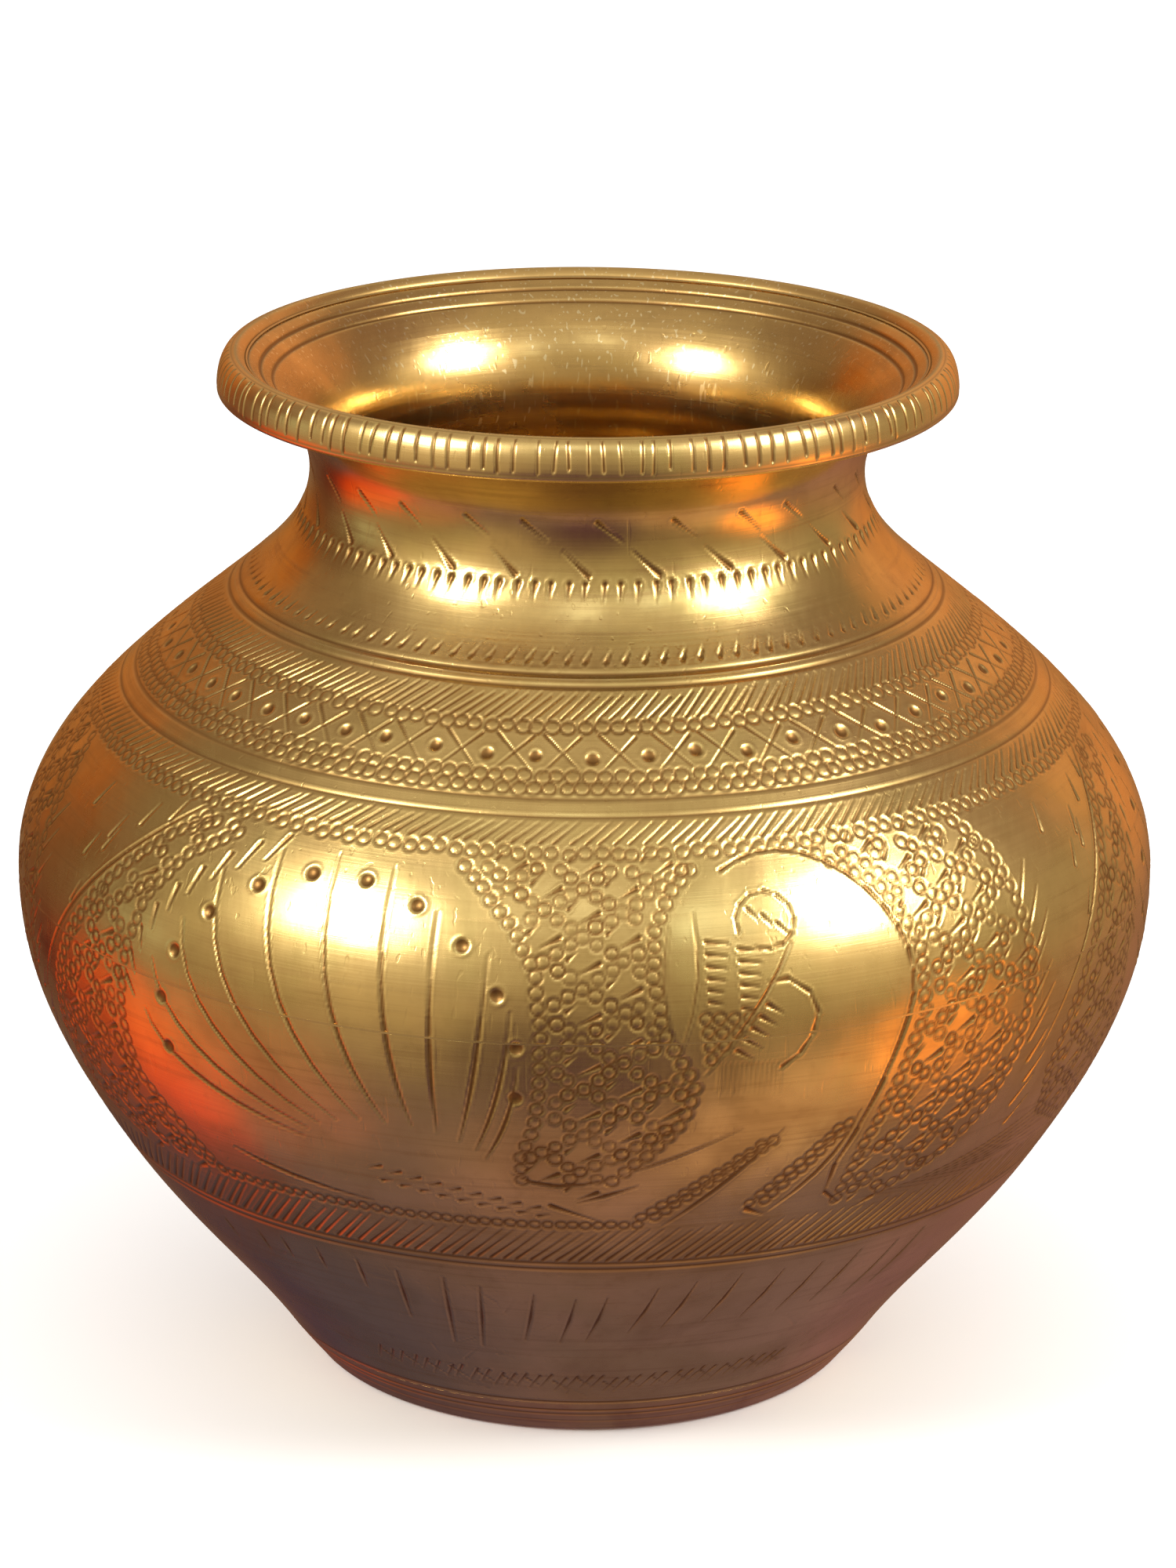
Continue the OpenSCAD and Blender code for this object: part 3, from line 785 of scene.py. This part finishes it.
for offset in (0, 120, 240):
    # Three strips of network: left of the fan, between fan and leaf, and right of the leaf.
    network([(42.5, -56, -42), (47, -64, -45), (54, -66, -50), (62, -64, -51), (70, -60, -50),
             (78, -55, -48.5), (84, -50, -45), (88, -45, -39)], offset)
    network([(49.5, -6, 3), (53, -6, 6), (58, -4.5, 9.5), (63, -4, 10.5), (70, -4, 7.5), (77, -4.5, 6.5),
             (82, -7, 7), (86, -10.5, 9), (88.3, -13, 12)], offset)
    network([(43, 27.5, 33), (47, 28, 40), (52, 29, 44), (60, 31.5, 47), (69, 34, 48.5), (77, 34.2, 48),
             (84, 31.5, 47), (88.3, 25, 44)], offset)

    # Fan: long tapered rays that sweep down and together, with dimples between their heads,
    # short dashes beside it and a dashed arc outside the strip on its left.
    for angle in np.radians(-94.7 + 18.55 * np.arange(11)):
        reach = chance.uniform(0.93, 1.04)
        top = (-26 + 21 * reach * math.sin(angle), 66 + 22 * reach * math.cos(angle))
        foot = (-18.8 + 9.6 * math.sin(angle / 1.15), 56.6 - 4 * (1 - math.cos(angle)))
        bend = (top[0] + 0.12 * (foot[0] - top[0]), foot[1] + 0.42 * (top[1] - foot[1]))
        sweep(foot, bend, top, 8, offset, 0.34, 0.21)
    for angle in np.radians(np.linspace(-104, 100, 12)):
        both("dimple", offset - 25.2 + 19.2 * math.sin(angle), 65 + 20.5 * math.cos(angle))
    for angle in np.radians(np.linspace(-86, -18, 9)):
        both("stroke", (offset - 26 + 23.6 * math.sin(angle), 66 + 23.4 * math.cos(angle)),
             (offset - 26 + 22.4 * math.sin(angle - 0.1), 66 + 21.2 * math.cos(angle - 0.1)),
             width=0.36, depth=0.2, head=1.0, tail=0.5)
    sweep((-46, 89), (-58, 80), (-69, 58), 12, offset)
    for place, height in ((-61, 79), (-58, 82), (-54, 84.6), (-50, 86.2), (56, 84), (62, 80.5), (59, 73)):
        both("stroke", (offset + place, height), (offset + place + 1.2, height + 2.8), width=0.34,
             depth=0.19, head=1.0, tail=0.3)
    # Under the fan: a long line, two rows of short dashes, curved strokes and a row of small rings.
    sweep((-38, 47.4), (-32, 45.0), (-22, 43.6), 4, offset)
    for k in range(9):
        both("stroke", (offset - 21.5 + 2 * k, 49.2 - 0.55 * k), (offset - 20.3 + 2 * k, 49.6 - 0.55 * k),
             width=0.34, depth=0.2, head=0.4, tail=1.0)
        both("stroke", (offset - 20.5 + 2 * k, 47.3 - 0.45 * k), (offset - 19.4 + 2 * k, 47.6 - 0.45 * k),
             width=0.34, depth=0.2, head=1.0, tail=0.4)
    sweep((-7, 50.4), (-3, 47.2), (3, 50.0), 4, offset)
    sweep((-0.5, 46.0), (2, 47.0), (5.5, 48.6), 2, offset)
    both("stroke", (offset - 3.2, 45.5), (offset + 2, 42.8), width=0.42, depth=0.24, head=1.0, tail=0.3)
    ring_row([(-42, 42.1), (-24, 42.3), (6, 42.2)], 1.62, 0.66, offset)

    # Leaf: an oval outline that runs down to a hooked tail.
    leaf = oval_line((20, 74), 13, 15, -0.45, 1.95)
    tail = [(29.7, 60.7), (27.6, 54), (26, 49), (25.8, 44.6), (28, 42.4)]
    places = [(offset + a, z) for a, z in leaf + tail]
    both("chase", places, width=0.36, depth=0.22, tail=0.45)
    second_cut = 0.15
    both("chase", [(a - second_cut, z) for a, z in places], width=0.24, depth=0.16, tail=0.8)
    # In the leaf: a double line, a pod with dashes and rings under it, a stalk and a wing.
    sweep((8.2, 82), (6.8, 75), (8.6, 67), 4, offset, 0.24, 0.15)
    sweep((10.8, 83.4), (11.6, 76), (9.2, 68), 4, offset, 0.24, 0.15)
    bud = oval_line((18.0, 82.0), 3.0, 3.1, -1.9, 3.6, 12)
    both("chase", [(offset + a, z) for a, z in bud], width=0.32, depth=0.18, tail=0.5)
    for place, height in ((16.4, 83.4), (17.8, 82.6), (19.2, 81.6)):
        both("stroke", (offset + place, height), (offset + place + 1, height - 1.3), width=0.34,
             depth=0.18, head=1.0, tail=0.4)
    for k in range(6):
        for side in (0, 1):
            both("stroke", (offset + 11.8 + 3.2 * side, 80.2 - 1.35 * k - side),
                 (offset + 14.0 + 3.2 * side - 0.2 * k, 79.9 - 1.35 * k - side),
                 width=0.34, depth=0.2, head=1.0, tail=0.5)
    for k in range(4):
        ring_row([(11.4 + 0.2 * k, 71.4 - 1.7 * k), (15.6 - 0.8 * k, 71.2 - 1.7 * k)], 1.7, 0.7, offset)
    sweep((20.3, 79.4), (17, 73), (11.5, 64.5), 5, offset, 0.28, 0.2)
    wing = [(17.6, 75.2), (19.6, 75.4), (21.6, 73.6), (22.4, 71.0), (21.8, 68.4), (20.6, 66.2),
            (18.8, 64.6)]
    both("chase", [(offset + a, z) for a, z in wing], width=0.36, depth=0.2, head=0.5, tail=1.0)
    for k in range(5):
        place, height = offset + 17.4 - 0.75 * k, 72.6 - 1.35 * k
        both("stroke", (place, height), (place + 1.5, height - 1.2), width=0.42, depth=0.24,
             head=1.0, tail=0.3)
    for k in range(13):
        place, height = offset + 12.8 + 0.5 * k, 65.8 - 0.05 * k
        both("stroke", (place, height), (place - 0.2, height - 3.6 - 0.05 * k), width=0.16,
             depth=0.07, head=1.0, tail=0.4)

    # Feathers under the leaf: strips of small rings, each with a dark line along its right edge.
    for low_end, high_end in (((7, 42.6), (18.4, 55.2)), ((18.4, 43.8), (26.4, 56.2))):
        for side in (-0.9, 0.6):
            ring_row([(low_end[0] + side, low_end[1] + 0.8), (high_end[0] + side * 0.5, high_end[1] - 1)],
                     1.62, 0.68, offset)
        sweep((low_end[0] + 1.4, low_end[1] - 0.8), (low_end[0] + 7.5, low_end[1] + 5.4),
              (high_end[0] + 1.2, high_end[1] + 0.6), 5, offset, 0.34, 0.2)
    both("stroke", (offset + 17.2, 43.6), (offset + 19.2, 42.4), width=0.5, depth=0.26, head=1.0, tail=0.3)
    sweep((3.6, 50.4), (9, 52.6), (15.4, 56.6), 4, offset, 0.24, 0.14)
    # Slanting strokes between the right strip and the plain crescent beside it.
    for k in range(11):
        place, height = 48.5 + 0.5 * (k % 3), 80.5 - 3.1 * k
        both("stroke", (offset + place + 2.4, height + 1.7), (offset + place, height - 1.9),
             width=0.36, depth=0.2, head=0.4, tail=1.0)
    for k in range(7):
        sweep((29 + 2.2 * k, 42.0 - 0.2 * k), (44 + k, 42.6), (62, 50.5 - 1.5 * k), 7, offset, 0.26, 0.12)

# A row of rings under the hatch, right round.
row_count = 206
for k in range(row_count):
    place = k * 360 / row_count
    upper_skin.ring(place + chance.uniform(-0.2, 0.2), 89.5 + chance.uniform(-0.15, 0.15))
hatch_count = 220
for k in range(hatch_count):
    place = k * 360 / hatch_count + chance.uniform(-0.2, 0.2)
    upper_skin.stroke((place, 90.4), (place + 3.0, 92.5 + chance.uniform(-0.3, 0.2)), 0.30, 0.17, 1, 0.4)

# Shoulder band: hatch, a row of rings, crosses with dimples, and two rows of rings.
hatch_count = 206
for k in range(hatch_count):
    place = k * 360 / hatch_count + chance.uniform(-0.2, 0.2)
    upper_skin.stroke((place, 102.0), (place + 3.8, 104.3 + chance.uniform(-0.3, 0.2)), 0.28, 0.16, 1, 0.5)
for row_height, count, start in ((101.3, 166, 0), (96.7, 184, 0.5), (95.6, 188, 1.5)):
    for k in range(count):
        place = start + k * 360 / count + chance.uniform(-0.25, 0.25)
        upper_skin.ring(place, row_height + chance.uniform(-0.1, 0.1), chance.uniform(0.8, 0.95))
dimple_count = 52
for k in range(dimple_count):
    place = 1 + k * 360 / dimple_count + chance.uniform(-0.5, 0.5)
    upper_skin.dimple(place, 98.7 + chance.uniform(-0.4, 0.4), chance.uniform(0.85, 1.0), 0.24)
    cross = place + 180 / dimple_count
    upper_skin.stroke((cross - 2.6, 100.6), (cross + 2.6, 97.0), 0.30, 0.17, 1, 0.5)
    upper_skin.stroke((cross + 2.4, 100.4), (cross - 2.6, 96.9), 0.30, 0.17, 1, 0.5)


inside_rows = 14
lower_inside = np.linspace(lower_to + lap, lower_from + lap, inside_rows)
shell_pieces(
    "lower_belly", lower_skin,
    [lower_to, lower_to + lap, *lower_inside, lower_from + lap, lower_from],
    [inner_lap, inner_lap, *[wall_thickness] * inside_rows, outer_lap, outer_lap],
    6, belly_brass, "lower_belly",
)
upper_inside = np.linspace(upper_to + lap, upper_from + lap, inside_rows)
shell_pieces(
    "upper_belly", upper_skin,
    [upper_to, upper_to + lap, *upper_inside, upper_from + lap, upper_from],
    [inner_lap, inner_lap, *[wall_thickness] * inside_rows, outer_lap, outer_lap],
    5, belly_brass, "upper_belly",
)


# Neck and flare: one piece, spun in at the throat and out again to a trumpet mouth, cut square
# at its edge. Outside it has slashes, a row of teeth and a row of nicks; inside, turned lines.
neck_from = STATION_ARC[NECK_SEAM] + film
neck_to = STATION_ARC[FLARE_EDGE]
neck_skin = Skin(np.linspace(neck_from, neck_to, 110), 900)
neck_skin.turned_line(106.2, 0.26, 0.13)
slash_count = 26
for k in range(slash_count):
    place = k * 360 / slash_count + chance.uniform(-1.2, 1.2)
    neck_skin.stroke((place - 4.5, 119.2), (place + 0.7, 116.2), 0.46, 0.25, 0.25, 1.0)
    other = place + 3 + chance.uniform(-1.5, 1.5)
    neck_skin.stroke((other, 123.0), (other + 5.0, 120.6), 0.34, 0.18, 1.0, 0.3)
tooth_count = 108
for k in range(tooth_count):
    place = k * 360 / tooth_count + chance.uniform(-0.25, 0.25)
    neck_skin.stroke((place, 115.3), (place - 0.3, 113.4), 0.50, 0.26, 1.0, 0.1)
nick_count = 114
for k in range(nick_count):
    place = k * 360 / nick_count + chance.uniform(-0.25, 0.25)
    neck_skin.stroke((place + 0.9, 108.4), (place, 107.4), 0.40, 0.18, 0.3, 1.0)
neck_brass = worn_brass("neck_brass", (0.93, 0.70, 0.29), (0.54, 0.36, 0.14), 0.20, patina=0.74)
neck_inside = np.concatenate([np.linspace(neck_to, neck_to - 7.5, 62, endpoint=False),
                              np.linspace(neck_to - 7.5, neck_from + lap, 20)])
inside_radius = wall_at(neck_inside, np.full(len(neck_inside), wall_thickness))[0][:, 0]
inside_depth = np.full(len(neck_inside), wall_thickness)
for line_radius, line_depth in ((44.0, 0.20), (42.3, 0.17), (40.7, 0.14)):
    line = np.exp(-((inside_radius - line_radius) / 0.22) ** 2) * (neck_inside > neck_to - 7.5)
    inside_depth = inside_depth - line_depth * line
shell_pieces(
    "neck_flare", neck_skin,
    [*neck_inside, neck_from + lap, neck_from],
    [*inside_depth, outer_lap, outer_lap],
    3, neck_brass, "neck_flare",
)


# Rim ring: a thick ring cast and turned, seated over the flare's edge. About 140 notches are
# filed across its rounded outer face between two fine turned lines.
rim_nose_drop = 4.6
rim_corner = 1.0
flare_angle = math.radians(flare_heading)
flare_edge = wall_at(np.array([neck_to]), np.array([wall_thickness]))[0][0]
lip = flare_edge + film * np.array([math.cos(flare_angle), math.sin(flare_angle)])

# Outline of the ring: the lip over the flare's edge, the crest, the nose and the corner under it.
rim_points, rim_arcs, rim_headings = joined(np.array([
    (*lip, flare_heading),
    (crest_radius, pot_height, 0.0),
    (rim_radius, pot_height - rim_nose_drop, -90.0),
    (rim_radius - rim_corner, pot_height - rim_height, -180.0),
]))
rim_rows = 44
rim_columns = 1800
rim_at = np.linspace(0, rim_arcs[-1], rim_rows)
rim_outside = np.stack([np.interp(rim_at, rim_arcs, rim_points[:, k]) for k in (0, 1)], axis=-1)
rim_heading = np.stack([np.interp(rim_at, rim_arcs, rim_headings[:, k]) for k in (0, 1)], axis=-1)
rim_out = np.stack([-rim_heading[:, 1], rim_heading[:, 0]], axis=-1)
rim_turn = np.arange(rim_columns) * 360 / rim_columns
rim_cut = np.zeros((rim_rows, rim_columns))
crest_arc, nose_arc = rim_arcs[STEPS], rim_arcs[2 * STEPS]
for line_arc, line_depth in ((0.0, 0.16), (crest_arc + 0.5, 0.08), (nose_arc - 0.1, 0.08)):
    line = line_depth * np.exp(-((rim_at - line_arc) / line_width) ** 2)
    rim_cut = np.maximum(rim_cut, line[:, None])
notch_count = 140
notch_top, notch_foot = crest_arc + 0.8, nose_arc - 0.3
notch_lean = chance.uniform(-0.35, 0.35, notch_count)
notch_place = (np.arange(notch_count) + chance.uniform(-0.24, 0.24, notch_count)) * 360 / notch_count
notch_width = chance.uniform(0.20, 0.27, notch_count)
notch_depth = chance.uniform(0.14, 0.22, notch_count)
notch_end = notch_foot - chance.uniform(-0.2, 0.7, notch_count)
for k in range(notch_count):
    turn_to = (rim_turn - notch_place[k] + 180) % 360 - 180
    close = np.abs(turn_to) < 3
    reach = (rim_at - notch_top) / (notch_end[k] - notch_top)
    fade = np.clip(np.minimum(reach, 1 - reach) / 0.06 + 0.5, 0, 1)
    away = np.radians(turn_to[close])[None, :] * rim_radius - notch_lean[k] * (reach - 0.5)[:, None]
    notch = notch_depth[k] * np.clip(1 - np.abs(away) / notch_width[k], 0, None) ** 0.8 * fade[:, None]
    rim_cut[:, close] = np.maximum(rim_cut[:, close], notch)
rim_raised = rim_outside[:, None, :] - rim_cut[..., None] * rim_out[:, None, :]
rim_radians = np.radians(rim_turn)[None, :]
rim_skin = np.stack([rim_raised[..., 0] * np.sin(rim_radians), -rim_raised[..., 0] * np.cos(rim_radians),
                     rim_raised[..., 1]], axis=-1)
rim_up = np.gradient(rim_skin, axis=0)
rim_round = np.roll(rim_skin, -1, axis=1) - np.roll(rim_skin, 1, axis=1)
rim_facing = np.cross(rim_up, rim_round)
rim_facing /= np.linalg.norm(rim_facing, axis=-1, keepdims=True)
seat_rows = 6
seat_at = np.linspace(STATION_ARC[RIM_TUCK], neck_to, seat_rows)
seat, seat_out = wall_at(seat_at, np.full(seat_rows, -film))
seat_points = turned(seat, rim_turn)
seat_facing = -turned(seat_out, rim_turn)
rim_whole = np.vstack([rim_skin, seat_points])[::-1]
rim_normals = np.vstack([rim_facing, seat_facing])[::-1]
rim_marks = {
    "arc": np.repeat(np.concatenate([rim_at, seat_at])[::-1], rim_columns),
    "cut": np.vstack([rim_cut / FULL_CUT, np.zeros((seat_rows, rim_columns))])[::-1],
    "inside": np.repeat(np.concatenate([np.clip((crest_arc + 0.6 - rim_at) / 1.2, 0, 1),
                                        np.zeros(seat_rows)])[::-1], rim_columns),
}
rim_brass = worn_brass("rim_brass", (0.90, 0.66, 0.28), WORN_BRASS, 0.26)
rim_ring = grid_piece("rim_ring_notched", rim_whole, rim_normals, True, True, rim_marks)
rim_ring.data.materials.append(rim_brass)
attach(rim_ring, "root")
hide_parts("rim_ring")
